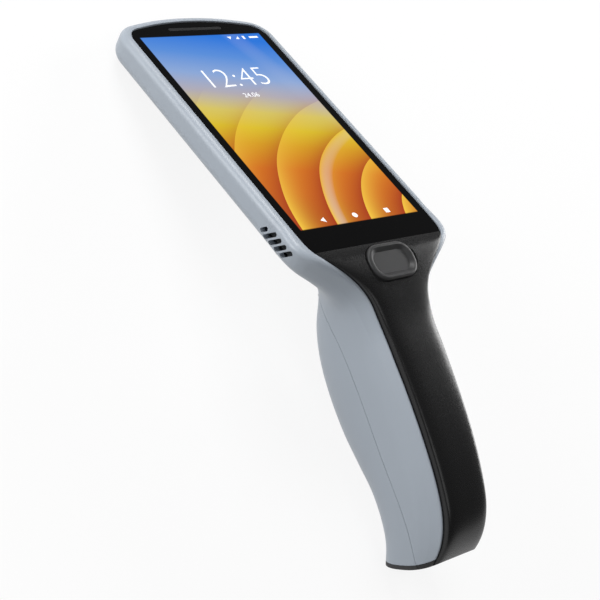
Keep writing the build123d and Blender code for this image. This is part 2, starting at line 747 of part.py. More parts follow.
knuckle_half = 4.6
pin_r = 0.8
with BuildPart() as cover_room:
    add(shell_bore.part)
    add(pin_bar(barrel_r + 0.4, 30), mode=Mode.SUBTRACT)
    add(rod(3.3, 2.6, 30), mode=Mode.SUBTRACT)
    for x in (-25.0, 0.0, 25.0):
        add(bay_block(x, x + 1.5, -40, -16.0, 30), mode=Mode.SUBTRACT)

with BuildPart() as battery_cover:
    add(shell_skin.part)
    add(cover_room.part, mode=Mode.SUBTRACT)
    add(behind_parting(0.0), mode=Mode.INTERSECT)
    with BuildPart(mode=Mode.PRIVATE) as knuckle_notch:
        with BuildSketch(SIDE.offset(-knuckle_half - 0.3)):
            Polygon((hinge[0] - 4, hinge[1] - 5), (hinge[0] + 8, hinge[1] - 5), (hinge[0] + 8, hinge[1] + 8),
                    (hinge[0] - 4, hinge[1] + 8), align=None)
        extrude(amount=2 * knuckle_half + 0.6)
    add(knuckle_notch.part, mode=Mode.SUBTRACT)
    add(pin_bar(pin_r + 0.05, 11.05), mode=Mode.SUBTRACT)
    add(rod(1.35, 0, 30), mode=Mode.SUBTRACT)
    add(rod(2.7, head_low - 0.05, 30), mode=Mode.SUBTRACT)
finish(battery_cover, "battery_cover")

with BuildPart() as cover_heel_pad:
    add(heel_plate.part)
    add(behind_parting(0.0), mode=Mode.INTERSECT)
finish(cover_heel_pad, "cover_heel_pad")

with BuildPart() as cover_seal:
    add(behind_parting(-0.1))
    add(behind_parting(-1.1), mode=Mode.SUBTRACT)
    add(shell_bore.part, mode=Mode.INTERSECT)
    with BuildPart(mode=Mode.PRIVATE) as seal_inside:
        loft([skin_section(s, wall_t + 0.8) for s in handle])
    add(seal_inside.part, mode=Mode.SUBTRACT)
    add(bay_block(-30.0, 34.0, -10, 10, 20), mode=Mode.INTERSECT)
finish(cover_seal, "cover_seal")

with BuildPart() as cover_hinge_pin:
    add(pin_bar(pin_r, 11.0))
finish(cover_hinge_pin, "cover_hinge_pin")

with BuildPart() as cover_screw:
    add(rod(screw_r, -4.2, head_low + 0.2))
    chamfer(cover_screw.faces().sort_by(Axis((0, 0, 0), SCREW.z_dir))[0].edges(), 0.4)
    add(rod(2.4, head_low, head_high))
    chamfer(cover_screw.faces().sort_by(Axis((0, 0, 0), SCREW.z_dir))[-1].edges(), 0.3)
    with BuildSketch(SCREW.offset(head_high - 0.8)):
        Rectangle(6.0, 0.9)
    extrude(amount=2, mode=Mode.SUBTRACT)
finish(cover_screw, "cover_screw")

with BuildPart() as screw_retainer:
    add(rod(2.1, 1.7, 2.5))
    add(rod(screw_r + 0.1, 0, 4), mode=Mode.SUBTRACT)
finish(screw_retainer, "screw_retainer")

with BuildPart() as cover_screw_insert:
    add(rod(2.1, -5.0, -0.6))
    add(rod(screw_r + 0.25, -6, 0), mode=Mode.SUBTRACT)
finish(cover_screw_insert, "cover_screw_insert")

# ================================================================================================
# The rear housing
# ================================================================================================
with BuildPart() as head_form:
    add(head_slab(rim_w, head_back, rim_face))
    loose_edges = head_form.edges().filter_by(lambda e: head_point(e).Y > head_join + 1)
    fillet(loose_edges.filter_by(lambda e: head_point(e).Z < head_back + 0.01), back_round)
    fillet(loose_edges.filter_by(lambda e: head_point(e).Z > rim_face - 0.01), rim_round)

with BuildPart() as head_room:
    add(head_slab(rim_w - wall_t, inner_floor, -2.65))
    fillet(head_room.edges().filter_by(
        lambda e: head_point(e).Z < inner_floor + 0.01 and head_point(e).Y > head_join + 1), 3.0)

slot_dir = HEAD.y_dir * -cos(radians(slot_lean)) + HEAD.z_dir * sin(radians(slot_lean))
with BuildPart() as slot_cutters:
    for side in (-1, 1):
        for n, length in enumerate((slot_len, slot_len, slot_len, slot_len, 0.55 * slot_len)):
            middle = Vector(side * (outer_half_w - 4.5), slot_mid_y + (n - 2) * slot_pitch, slot_mid_z)
            inner_end = HEAD.from_local_coords(middle)
            with BuildSketch(Plane(origin=inner_end, x_dir=slot_dir, z_dir=HEAD.x_dir * side)):
                SlotOverall(length, slot_w)
            extrude(amount=6)

with BuildPart() as screw_floor:
    add(behind_parting(2.0))
    add(bay_block(35.0, 70.0, -40, 20, 30), mode=Mode.INTERSECT)

with BuildPart() as handle_room:
    add(shell_bore.part)
    with Locations(HEAD):
        with Locations((0, -46.5, 7.35)):
            Box(90, 28.0, 20, mode=Mode.SUBTRACT)
    add(bay_block(-37.4, 36.8, wall_front, wall_back, 30), mode=Mode.SUBTRACT)
    add(bay_block(-37.4, block_low, -20, wall_back - 0.1, 30), mode=Mode.SUBTRACT)
    add(bay_block(34.9, 36.8, -20, wall_back - 0.1, 30), mode=Mode.SUBTRACT)
    add(screw_floor.part, mode=Mode.SUBTRACT)
    add(rod(3.3, -6.6, 0.0), mode=Mode.SUBTRACT)

with BuildPart() as rear_housing:
    add(head_form.part)
    add(shell_skin.part)
    add(end_arc(window_w / 2 + 2.0, (1.0, 3.2), window_z[0] - 1.4, window_z[1] + 1.0))
    add(pocket(0.1, glass_back - gasket_t, 2.0), mode=Mode.SUBTRACT)
    add(pocket(-1.7, -2.7, 0.0), mode=Mode.SUBTRACT)
    add(head_room.part, mode=Mode.SUBTRACT)
    add(handle_room.part, mode=Mode.SUBTRACT)
    add(cover_space.part, mode=Mode.SUBTRACT)
    add(behind_parting(seam), mode=Mode.SUBTRACT)
    with BuildPart(mode=Mode.PRIVATE) as knuckle:
        with BuildSketch(SIDE.offset(-knuckle_half)):
            with Locations(hinge):
                Circle(1.9)
            Polygon((hinge[0] - 1.9, hinge[1]), (hinge[0] - 1.9, hinge[1] + 5), (hinge[0] + 3, hinge[1] + 5),
                    (hinge[0] + 1.9, hinge[1]), align=None)
        extrude(amount=2 * knuckle_half)
        add(full_skin.part, mode=Mode.INTERSECT)
    add(knuckle.part)
    add(pin_bar(pin_r + 0.05, 11.05), mode=Mode.SUBTRACT)
    add(rod(2.1, -5.0, 0), mode=Mode.SUBTRACT)
    add(rod(1.4, -6.0, 0), mode=Mode.SUBTRACT)
    add(rod(2.5, -0.5, 4), mode=Mode.SUBTRACT)
    with BuildSketch(bay_level(wall_front - 1)):
        with Locations(*[(0, -x) for x in cover_screws_at]):
            Circle(0.95)
    extrude(amount=4, mode=Mode.SUBTRACT)
    with BuildSketch(bay_level(wall_front - 1)):
        with Locations(*[(0, -x) for x in cover_screws_at]):
            Circle(2.05)
    extrude(amount=2.2, mode=Mode.SUBTRACT)
    add(slot_cutters.part, mode=Mode.SUBTRACT)
    add(end_arc(window_w / 2 + 0.1, (-1.0, 2.3), window_z[0] - 0.1, window_z[1] + 0.1), mode=Mode.SUBTRACT)
    add(end_arc(window_w / 2 - 1.0, (1.0, 4.0), window_z[0] + 0.6, window_z[1] - 0.6), mode=Mode.SUBTRACT)
    with BuildSketch(HEAD.offset(head_back - 1)):
        with Locations((0, contact_row_y)):
            with GridLocations(9.0, 0, 4, 1):
                RectangleRounded(3.2, 5.2, 0.7)
    extrude(amount=4, mode=Mode.SUBTRACT)
    with BuildSketch(HEAD.offset(inner_floor - 0.5)):
        with Locations(*frame_screws_at):
            Circle(2.4)
    extrude(amount=standoff_top - inner_floor + 0.5)
    with BuildSketch(HEAD.offset(inner_floor - 0.5)):
        with Locations((-8, engine_y), (8, engine_y)):
            Rectangle(2.0, 8.0)
    extrude(amount=engine_top - engine_h - 0.05 - inner_floor + 0.5)
    with BuildSketch(HEAD.offset(inner_floor - 0.5)):
        with GridLocations(44.0, 84.0, 2, 2):
            Circle(1.4)
    extrude(amount=board_face - board_t - 0.05 - inner_floor + 0.5)
    with BuildSketch(HEAD.offset(standoff_top)):
        with Locations(*frame_screws_at):
            Circle(1.6)
    extrude(amount=-2.6, mode=Mode.SUBTRACT)
finish(rear_housing, "rear_housing")
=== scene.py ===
"""Dresses the portable barcode data terminal: finishes, screen marks and studio."""

from math import cos, pi, radians, sin

import bmesh
import bpy
from bpy.props import FloatProperty, FloatVectorProperty, PointerProperty, StringProperty
from mathutils import Matrix, Vector


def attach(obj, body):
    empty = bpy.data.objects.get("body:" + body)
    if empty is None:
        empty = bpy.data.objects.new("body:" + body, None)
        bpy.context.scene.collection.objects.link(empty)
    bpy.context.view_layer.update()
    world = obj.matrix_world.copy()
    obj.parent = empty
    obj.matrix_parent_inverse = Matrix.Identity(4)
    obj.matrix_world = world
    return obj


bl_info = {
    "name": "Barcode data terminal",
    "version": (1, 0, 0),
    "blender": (4, 5, 0),
    "location": "View3D > Sidebar > Terminal",
    "description": "Finishes, screen content and studio for a pistol-grip barcode data terminal",
    "category": "Object",
}

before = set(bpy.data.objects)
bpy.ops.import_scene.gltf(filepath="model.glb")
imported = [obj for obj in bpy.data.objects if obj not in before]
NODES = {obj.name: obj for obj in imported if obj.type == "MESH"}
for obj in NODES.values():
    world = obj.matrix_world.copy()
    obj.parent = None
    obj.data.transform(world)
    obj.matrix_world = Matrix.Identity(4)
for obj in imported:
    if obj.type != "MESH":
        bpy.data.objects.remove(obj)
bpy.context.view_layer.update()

# ---- the head's own axes ------------------------------------------------------------------------
# HEAD turns millimetres across, up and out of the display into the object's metres.
MILLIMETRE = 0.001
TILT = radians(20.41)
HEAD_AT = Vector((0, 0.05327, 0.03073))
ACROSS = Vector((1, 0, 0))
UPWARD = Vector((0, cos(TILT), -sin(TILT)))
OUTWARD = Vector((0, sin(TILT), cos(TILT)))
HEAD = (Matrix.Translation(HEAD_AT) @ Matrix((ACROSS, UPWARD, OUTWARD)).transposed().to_4x4()
        @ Matrix.Scale(MILLIMETRE, 4))

# ---- the view: its axes and place in the head's own frame, in millimetres ------------------------
VIEW_RIGHT = Vector((0.71973, -0.56358, 0.40542))
VIEW_DOWN = Vector((-0.14905, -0.69578, -0.70262))
VIEW_AHEAD = Vector((0.67807, 0.44526, -0.58477))
DISPLAY_SEEN_AT = (-8.1084, -63.3068, 548.8618)  # right, down and ahead of the eye
FILM_WIDTH = 36.0
FOCAL_PER_WIDTH = 1518.39 / 600  # focal length, in widths of the frame

# ---- marks on the screen, in millimetres ---------------------------------------------------------
MARK_LIFT = 0.36       # over the display's plane, just clear of the glass
MARK_THICKNESS = 0.03
STATUS_ROW, KEY_ROW = 49.6, -48.8
DISC_SEGMENTS = 40


# ---- what a user would change -------------------------------------------------------------------
def tint(name, text, value):
    """A colour that a user picks."""
    return FloatVectorProperty(name=name, description=text, default=value, size=3,
                               subtype="COLOR", min=0, max=1)


def length(name, text, value):
    """A length in metres."""
    return FloatProperty(name=name, description=text, default=value, unit="LENGTH",
                         subtype="DISTANCE", min=0)


def share(name, text, value):
    """A share from 0 to 1."""
    return FloatProperty(name=name, description=text, default=value, subtype="FACTOR",
                         min=0, max=1)


def lamp_power(name, text, value):
    """The power of a lamp, in watts."""
    return FloatProperty(name=name, description=text, default=value, subtype="POWER", min=0)


def strength(name, text, value):
    """A strength, where 1 is plain white."""
    return FloatProperty(name=name, description=text, default=value, min=0)


class TerminalFinishes(bpy.types.PropertyGroup):
    housing: tint("Housing", "Colour of the grey housing and battery cover",
                  (0.335, 0.375, 0.425))
    cover: tint("Front cover", "Colour of the dark front cover", (0.008, 0.008, 0.0083))
    button: tint("Scan button", "Colour of the thumb button", (0.038, 0.038, 0.039))
    glass: tint("Glass border", "Colour of the black border under the glass",
                (0.002, 0.002, 0.0022))
    rubber: tint("Rubber", "Colour of pads and seals", (0.02, 0.02, 0.021))
    grain: length("Moulded grain", "Size of the grain on the mouldings", 0.0004)
    housing_roughness: share("Housing roughness", "How dull the housing is", 0.38)
    cover_roughness: share("Cover roughness", "How dull the front cover is", 0.27)


class TerminalScreen(bpy.types.PropertyGroup):
    width: length("Picture width", "Width of the lit picture", 0.0585)
    height: length("Picture height", "Height of the lit picture", 0.104)
    glow: strength("Glow", "Brightness of the lit picture", 1.0)
    clock: StringProperty(name="Clock", description="Time on the screen", default="12:45")
    top: tint("Sky", "Colour at the picture's far end", (0.012, 0.17, 0.70))
    haze: tint("Haze", "Colour above the middle", (0.42, 0.40, 0.46))
    middle: tint("Middle", "Colour at the middle", (0.70, 0.52, 0.015))
    bottom: tint("Ground", "Colour at the picture's near end", (0.62, 0.14, 0.006))


class TerminalStudio(bpy.types.PropertyGroup):
    key: lamp_power("Key light", "Power of the softbox on the left, behind", 8.0)
    top: lamp_power("Top light", "Power of the softbox above and in front", 2.5)
    back: lamp_power("Back light", "Power of the softbox behind", 7.0)
    right: lamp_power("Right light", "Power of the softbox on the right", 4.5)
    strip: lamp_power("Low strip", "Power of the low strip on the right", 2.0)
    room: strength("Room light", "Strength of the white room as a light", 0.14)
    paper: share("Floor paper", "How much of the floor's white is its own glow", 0.86)


# ---- materials ----------------------------------------------------------------------------------
class Value:
    """A socket of a node tree, which Python's operators join into Math nodes."""

    def __init__(self, nodes, socket):
        self.nodes, self.socket = nodes, socket

    def math(self, operation, *values):
        made = self.nodes.add("ShaderNodeMath", dict(enumerate(values)), operation=operation)
        return Value(self.nodes, made.outputs[0])

    def __add__(self, other):
        return self.math("ADD", self, other)

    __radd__ = __add__

    def __sub__(self, other):
        return self.math("SUBTRACT", self, other)

    def __rsub__(self, other):
        return self.math("SUBTRACT", other, self)

    def __mul__(self, other):
        return self.math("MULTIPLY", self, other)

    def __truediv__(self, other):
        return self.math("DIVIDE", self, other)

    def __pow__(self, other):
        return self.math("POWER", self, other)

    def __lt__(self, other):
        return self.math("LESS_THAN", self, other)

    def __gt__(self, other):
        return self.math("GREATER_THAN", self, other)

    def fraction(self):
        return self.math("FRACT", self)

    def sine(self):
        return self.math("SINE", self)

    def clamped(self):
        """The value held between 0 and 1."""
        return Value(self.nodes, self.nodes.add("ShaderNodeClamp", {"Value": self}).outputs[0])

    def within(self, low, high, soft):
        """1 between low and high, falling to 0 over a soft edge."""
        return ((self - low) / soft).clamped() * ((high - self) / soft).clamped()


class Nodes:
    """The nodes of one tree, and the ways to add and join them."""

    def __init__(self, tree):
        self.tree = tree

    def add(self, kind, inputs=None, **settings):
        """A node of that kind: its settings first, then its sockets, by name or number."""
        made = self.tree.nodes.new(kind)
        for setting, value in settings.items():
            setattr(made, setting, value)
        for socket, value in (inputs or {}).items():
            self.fill(made.inputs[socket], value)
        return made

    def fill(self, socket, value):
        """Join a value, a socket, a number or a colour to a socket."""
        if isinstance(value, Value):
            value = value.socket
        if isinstance(value, bpy.types.NodeSocket):
            self.tree.links.new(value, socket)
        elif socket.type == "RGBA" and len(value) == 3:
            socket.default_value = (*value, 1)
        else:
            socket.default_value = value

    def mix(self, factor, low, high):
        """A colour between two others."""
        # a Mix node's colour sockets share their names with others, so they go by number
        made = self.add("ShaderNodeMix", {0: factor, 6: low, 7: high}, data_type="RGBA")
        return made.outputs[2]

    def gradient(self, stops, factor):
        """A smooth run of colours; each stop is a place from 0 to 1 and its colour."""
        made = self.add("ShaderNodeValToRGB", {"Fac": factor})
        elements = made.color_ramp.elements
        elements.remove(elements[1])
        for i, (place, colour) in enumerate(stops):
            stop = elements.new(place) if i else elements[0]
            stop.position, stop.color = place, (*colour, 1)
        return made.outputs["Color"]

    def rays(self):
        """1 for what the camera sees straight on, mirrored, and through glass."""
        path = self.add("ShaderNodeLightPath").outputs
        return [Value(self, path[f"Is {kind} Ray"])
                for kind in ("Camera", "Glossy", "Transmission")]


class Finish(Nodes):
    """A material with one Principled shader, and the ways to fill its sockets."""

    def __init__(self, name, **constants):
        self.material = bpy.data.materials.new(name)
        self.material.use_nodes = True
        super().__init__(self.material.node_tree)
        self.shader = self.tree.nodes["Principled BSDF"]
        self.coordinates = self.add("ShaderNodeTexCoord").outputs["Object"]
        self.set(**constants)

    def set(self, **inputs):
        """Fill sockets of the shader."""
        for name, value in inputs.items():
            self.fill(self.shader.inputs[name.replace("_", " ")], value)

    def noise(self, size, detail=2.0, roughness=0.5):
        """Cloudy noise from 0 to 1, of a size in metres."""
        made = self.add("ShaderNodeTexNoise", {"Vector": self.coordinates, "Scale": 1 / size,
                                               "Detail": detail, "Roughness": roughness})
        return Value(self, made.outputs["Fac"])

    def along(self, direction, origin=(0, 0, 0)):
        """Distance along a direction from a point, in metres."""
        offset = self.add("ShaderNodeVectorMath", {0: self.coordinates, 1: tuple(origin)},
                          operation="SUBTRACT")
        made = self.add("ShaderNodeVectorMath", {0: offset.outputs[0], 1: tuple(direction)},
                        operation="DOT_PRODUCT")
        return Value(self, made.outputs["Value"])

    def bump(self, height, depth, strength):
        """Relief of a depth in metres."""
        made = self.add("ShaderNodeBump",
                        {"Height": height, "Distance": depth, "Strength": strength})
        self.set(Normal=made.outputs["Normal"])


def shade(colour, factor):
    """A lighter or darker tone of a colour."""
    return tuple(min(part * factor, 1.0) for part in colour)


def moulded(name, colour, roughness, grain, depth=0.00002, wear=0.06, **constants):
    """Moulded plastic: a fine even grain, slow changes of tone and slightly uneven gloss."""
    finish = Finish(name, **constants)
    cloud = finish.noise(0.03, detail=3)
    fine = finish.noise(grain, detail=3, roughness=0.6)
    finish.set(Base_Color=finish.mix(cloud, shade(colour, 1 - wear), shade(colour, 1 + wear)),
               Roughness=roughness + (cloud - 0.5) * 0.08 + (fine - 0.5) * 0.1)
    finish.bump(fine, depth, strength=0.4)
    return finish


def metal(name, colour, roughness, grain=0.0004):
    """Bare metal with fine uneven polish."""
    finish = Finish(name, Metallic=1.0)
    fine = finish.noise(grain, detail=4)
    finish.set(Base_Color=finish.mix(finish.noise(0.004), shade(colour, 0.9), colour),
               Roughness=roughness + (fine - 0.5) * 0.2)
    finish.bump(fine, depth=0.00001, strength=0.3)
    return finish


def circuit(name, colour):
    """Solder mask with broken lighter traces, a millimetre apart."""
    finish = Finish(name, Roughness=0.4, Specular_IOR_Level=0.5)
    x = finish.along(ACROSS) * 1000
    y = finish.along(UPWARD) * 1000
    wander = finish.noise(0.006) * 2
    trace_share, dash_share, dashes_per_millimetre = 0.3, 0.7, 0.4
    lines = (((x + wander).fraction() < trace_share)
             * ((y * dashes_per_millimetre + wander).fraction() < dash_share))
    finish.set(Base_Color=finish.mix(lines * 0.6, colour, shade(colour, 2.4)))
    finish.bump(lines, depth=0.00002, strength=0.5)
    return finish


def meshwork(name, colour):
    """Woven acoustic mesh."""
    thread_pitch = 0.0005
    finish = Finish(name, Roughness=0.8)
    y = finish.along(UPWARD) * 2 * pi / thread_pitch
    z = finish.along(OUTWARD) * 2 * pi / thread_pitch
    weave = (y.sine() * z.sine()) * 0.5 + 0.5
    finish.set(Base_Color=finish.mix(weave, shade(colour, 0.4), colour))
    finish.bump(weave, depth=0.00005, strength=0.8)
    return finish


def glowing(name, colour, glow):
    """A surface that gives its own light."""
    finish = Finish(name, Roughness=0.4, Emission_Strength=glow)
    tone = finish.mix(finish.noise(0.002), shade(colour, 0.97), colour)
    finish.set(Base_Color=shade(colour, 0.3), Emission_Color=tone)
    return finish


def tinted_glass(name, colour, alpha):
    """Dark coated glass."""
    finish = Finish(name, Roughness=0.08, Coat_Weight=0.4, Coat_Roughness=0.03)
    finish.set(Base_Color=finish.mix(finish.noise(0.006), colour, shade(colour, 1.3)),
               Alpha=alpha)
    return finish


def lit_glass(looks, screen):
    """Black cover glass with the lit picture behind its middle."""
    finish = Finish("cover_glass", Roughness=0.09, Specular_IOR_Level=0.14,
                    Emission_Strength=screen.glow)
    # x and y run from -0.5 to 0.5 over the picture, which is lit on the front only
    x = finish.along(ACROSS, HEAD_AT) / screen.width
    y = finish.along(UPWARD, HEAD_AT) / screen.height
    edge = 0.004
    lit = (x.within(-0.5, 0.5, edge) * y.within(-0.5, 0.5, edge)
           * (finish.along(OUTWARD, HEAD_AT) > 0.0))
    slant = 0.12
    sky = finish.gradient([
        (0.0, shade(screen.bottom, 0.8)),
        (0.13, screen.bottom),
        (0.25, (0.66, 0.16, 0.004)),
        (0.38, (0.68, 0.34, 0.005)),
        (0.47, screen.middle),
        (0.56, (0.66, 0.55, 0.12)),
        (0.66, screen.haze),
        (0.76, (0.25, 0.38, 0.67)),
        (0.88, (0.09, 0.26, 0.69)),
        (1.0, screen.top),
    ], y + 0.5 + x * slant)
    # broad rings of light round a point off the near right corner, fading up the picture
    height_per_width = 1.78
    rings_per_width = 3.6
    across, up = x - 0.85, (y + 0.62) * height_per_width
    reach = (across * across + up * up) ** 0.5 + finish.noise(0.08) * 0.08
    band = (reach * rings_per_width).fraction()
    low = (0.72 - (y + 0.5)).clamped() * 1.5
    crest = finish.mix((band ** 3.0 * low).clamped(), sky, (0.90, 0.55, 0.05))
    deep = finish.mix(((1 - band) ** 3.0 * low * 1.1).clamped(), crest, (0.40, 0.045, 0.002))
    pale = finish.mix(reach.within(1.02, 1.11, 0.08) * low * 0.9, deep, (0.62, 0.60, 0.74))
    # one soft beam from the far right corner
    beam = (x * 1.5 + y * 0.8 - 0.62).within(0.0, 0.3, 0.28) * (y + 0.3).clamped()
    picture = finish.mix((beam * 0.5).clamped(), pale, (0.55, 0.58, 0.78))
    finish.set(Base_Color=finish.mix(lit, looks.glass, (0.01, 0.01, 0.01)),
               Emission_Color=finish.mix(lit, (0, 0, 0), picture))
    return finish


def paper(share_of_glow):
    """White paper that keeps a soft shadow near the middle and is plain white far out."""
    finish = Finish("floor_white", Roughness=0.9, Specular_IOR_Level=0.1)
    straight, mirrored, through = finish.rays()
    seen = (straight + mirrored + through).clamped()
    finish.set(Base_Color=finish.mix(seen, (0.55, 0.55, 0.55), (0.95, 0.95, 0.95)))
    shadow_reach, fade = 0.4, 0.8
    x, y = finish.along(ACROSS), finish.along(Vector((0, 1, 0)))
    far = (((x * x + y * y) ** 0.5 - shadow_reach) / fade).clamped()
    white = finish.add("ShaderNodeEmission", {"Color": (1, 1, 1), "Strength": 1.0})
    glow = seen * (far * (1 - share_of_glow) + share_of_glow)
    both = finish.add("ShaderNodeMixShader",
                      {0: glow, 1: finish.shader.outputs[0], 2: white.outputs[0]})
    finish.fill(finish.tree.nodes["Material Output"].inputs["Surface"], both.outputs[0])
    return finish


def dress(finish, *names):
    """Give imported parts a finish."""
    for name in names:
        materials = NODES[name].data.materials
        materials.clear()
        materials.append(finish.material)


# ---- making pieces ------------------------------------------------------------------------------
def piece(name, mesh, body, finish):
    """One new piece: an object at the origin with its place in its mesh."""
    made = bpy.data.objects.new(name, mesh)
    bpy.context.scene.collection.objects.link(made)
    made.data.materials.clear()
    made.data.materials.append(finish.material)
    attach(made, body)


def to_mesh(form, name, smooth):
    """The mesh of a finished form, with its faces turned outwards."""
    mesh = bpy.data.meshes.new(name)
    bmesh.ops.recalc_face_normals(form, faces=form.faces)
    for face in form.faces:
        face.smooth = smooth
    form.to_mesh(mesh)
    form.free()
    return mesh


def thicken(form, face, place):
    """Give a flat mark its thickness, away from the display."""
    grown = bmesh.ops.extrude_face_region(form, geom=[face])
    lifted = [part for part in grown["geom"] if isinstance(part, bmesh.types.BMVert)]
    bmesh.ops.translate(form, verts=lifted,
                        vec=place.to_3x3() @ Vector((0, 0, MARK_THICKNESS)))


def plate(form, corners, place):
    """A flat mark with straight sides."""
    made = [form.verts.new(place @ Vector((x, y, 0))) for x, y in corners]
    thicken(form, form.faces.new(made), place)


def bar(form, half_width, half_height, place):
    """A flat mark with four square corners."""
    w, h = half_width, half_height
    plate(form, [(-w, -h), (w, -h), (w, h), (-w, h)], place)


def disc(form, radius, place):
    """A flat round mark."""
    made = bmesh.ops.create_circle(form, cap_ends=True, radius=radius,
                                   segments=DISC_SEGMENTS, matrix=place)
    thicken(form, made["verts"][0].link_faces[0], place)


def written(text, size, place, slim=0.0):
    """Plain figures as a thin mesh, centred on a place; slim draws their strokes in."""
    curve = bpy.data.curves.new("figures", "FONT")
    curve.body = text
    curve.size = size
    curve.align_x, curve.align_y = "CENTER", "CENTER"
    curve.extrude = MARK_THICKNESS / 2
    curve.offset = -slim
    curve.resolution_u = 6
    made = bpy.data.objects.new("figures", curve)
    bpy.context.scene.collection.objects.link(made)
    bpy.context.view_layer.update()
    evaluated = made.evaluated_get(bpy.context.evaluated_depsgraph_get())
    mesh = bpy.data.meshes.new_from_object(evaluated)
    bpy.data.objects.remove(made)
    bpy.data.curves.remove(curve)
    mesh.transform(place)
    return mesh


# ---- operators ----------------------------------------------------------------------------------
class TERMINAL_OT_housing(bpy.types.Operator):
    """Finish the grey housing and battery cover"""
    bl_idname = "terminal.housing"
    bl_label = "Finish the housing"

    def execute(self, context):
        looks = context.scene.terminal_finishes
        grey = moulded("housing_grey", looks.housing, looks.housing_roughness, looks.grain,
                       depth=0.000002, wear=0.03, Specular_IOR_Level=0.5)
        dress(grey, "rear_housing", "battery_cover")
        return {"FINISHED"}


class TERMINAL_OT_front(bpy.types.Operator):
    """Finish the dark front cover, the scan button, the pads and the seal"""
    bl_idname = "terminal.front"
    bl_label = "Finish the front"

    def execute(self, context):
        looks = context.scene.terminal_finishes
        fine_grain = looks.grain * 0.7
        cover = moulded("cover_black", looks.cover, looks.cover_roughness, fine_grain,
                        depth=0.000002, wear=0.05, Specular_IOR_Level=0.3)
        dress(cover, "front_cover")
        button = moulded("button_black", looks.button, looks.cover_roughness + 0.1, fine_grain,
                         depth=0.000002, wear=0.05, Specular_IOR_Level=0.2)
        dress(button, "scan_button")
        rubber = moulded("rubber_black", looks.rubber, 0.7, looks.grain * 0.5, wear=0.15)
        dress(rubber, "button_pad", "cover_heel_pad", "cover_seal", "screw_retainer")
        return {"FINISHED"}


class TERMINAL_OT_display(bpy.types.Operator):
    """Finish the glass with its lit picture, and the light bar at its far end"""
    bl_idname = "terminal.display"
    bl_label = "Light the display"

    def execute(self, context):
        looks, screen = context.scene.terminal_finishes, context.scene.terminal_screen
        dress(lit_glass(looks, screen), "touch_glass")
        dress(moulded("light_pipe", (0.012, 0.012, 0.013), 0.35, 0.0004, depth=0.000005,
                      Specular_IOR_Level=0.2), "status_light_bar")
        dress(glowing("panel_glow", (0.3, 0.35, 0.5), 0.3), "display_module")
        return {"FINISHED"}


class TERMINAL_OT_screen_marks(bpy.types.Operator):
    """Set the clock, the date, the status marks and the three keys on the screen"""
    bl_idname = "terminal.screen_marks"
    bl_label = "Screen marks"

    def execute(self, context):
        screen = context.scene.terminal_screen
        white = glowing("mark_white", (0.95, 0.97, 1.0), 0.8)

        def at(x, y):
            return HEAD @ Matrix.Translation((x, y, MARK_LIFT))

        clock = written(screen.clock, 15.0, at(-1.2, 26.3), slim=0.3)
        piece("screen_clock", clock, "terminal", white)
        date = written("24.06", 3.4, at(-0.6, 16.6))
        piece("screen_date", date, "terminal", white)

        form = bmesh.new()
        # status marks: two triangles, an upright bar and a long one
        plate(form, [(-1.0, 0.8), (0, -0.8), (1.0, 0.8)], at(12.7, STATUS_ROW))
        plate(form, [(-0.9, -0.8), (0.8, -0.8), (0.8, 0.8)], at(16.3, STATUS_ROW))
        bar(form, 0.5, 0.9, at(19.7, STATUS_ROW))
        bar(form, 2.2, 0.5, at(24.8, STATUS_ROW))
        # keys: a triangle, a disc and a square
        plate(form, [(-1.3, 0), (0.9, 1.2), (0.9, -1.2)], at(-16.2, KEY_ROW))
        disc(form, 1.15, at(-0.7, KEY_ROW))
        bar(form, 1.1, 1.1, at(15.4, KEY_ROW - 0.1))
        keys = to_mesh(form, "screen_keys", smooth=False)
        piece("screen_keys", keys, "terminal", white)
        return {"FINISHED"}


class TERMINAL_OT_inside(bpy.types.Operator):
    """Finish the parts inside, the scan window and the metal parts"""
    bl_idname = "terminal.inside"
    bl_label = "Finish the inside"

    def execute(self, context):
        dress(moulded("tape_black", (0.02, 0.02, 0.02), 0.8, 0.0003),
              "glass_gasket", "window_gasket")
        dress(metal("cast_alloy", (0.5, 0.51, 0.53), 0.5, 0.0008), "mid_frame")
        dress(circuit("solder_mask", (0.01, 0.07, 0.03)), "main_board", "trigger_board")
        dress(metal("tinned_sheet", (0.7, 0.7, 0.69), 0.35),
              "board_shields", "backup_cell", "vibration_motor")
        dress(metal("screw_steel", (0.45, 0.45, 0.46), 0.35),
              "frame_screws", "front_cover_screws", "cover_screw", "cover_hinge_pin")
        dress(metal("insert_brass", (0.62, 0.42, 0.14), 0.35),
              "frame_inserts", "cover_screw_insert")
        dress(metal("contact_gold", (0.83, 0.58, 0.22), 0.25),
              "dock_contacts", "battery_contacts")
        dress(moulded("flex_amber", (0.32, 0.13, 0.02), 0.35, 0.0008),
              "display_flex", "trigger_flex", "antenna_left", "antenna_right")
        dress(moulded("engine_black", (0.02, 0.02, 0.022), 0.45, 0.0004),
              "scan_engine", "speaker_left", "speaker_right", "trigger_switch",
              "battery_contact_block")
        dress(moulded("battery_case", (0.03, 0.03, 0.032), 0.5, 0.0005), "battery_pack")
        dress(tinted_glass("lens_coat", (0.03, 0.02, 0.06), 0.8), "scan_lenses")
        dress(tinted_glass("red_window", (0.045, 0.002, 0.003), 0.93), "scan_window")
        dress(meshwork("speaker_mesh", (0.11, 0.115, 0.12)),
              "speaker_mesh_left", "speaker_mesh_right")
        return {"FINISHED"}


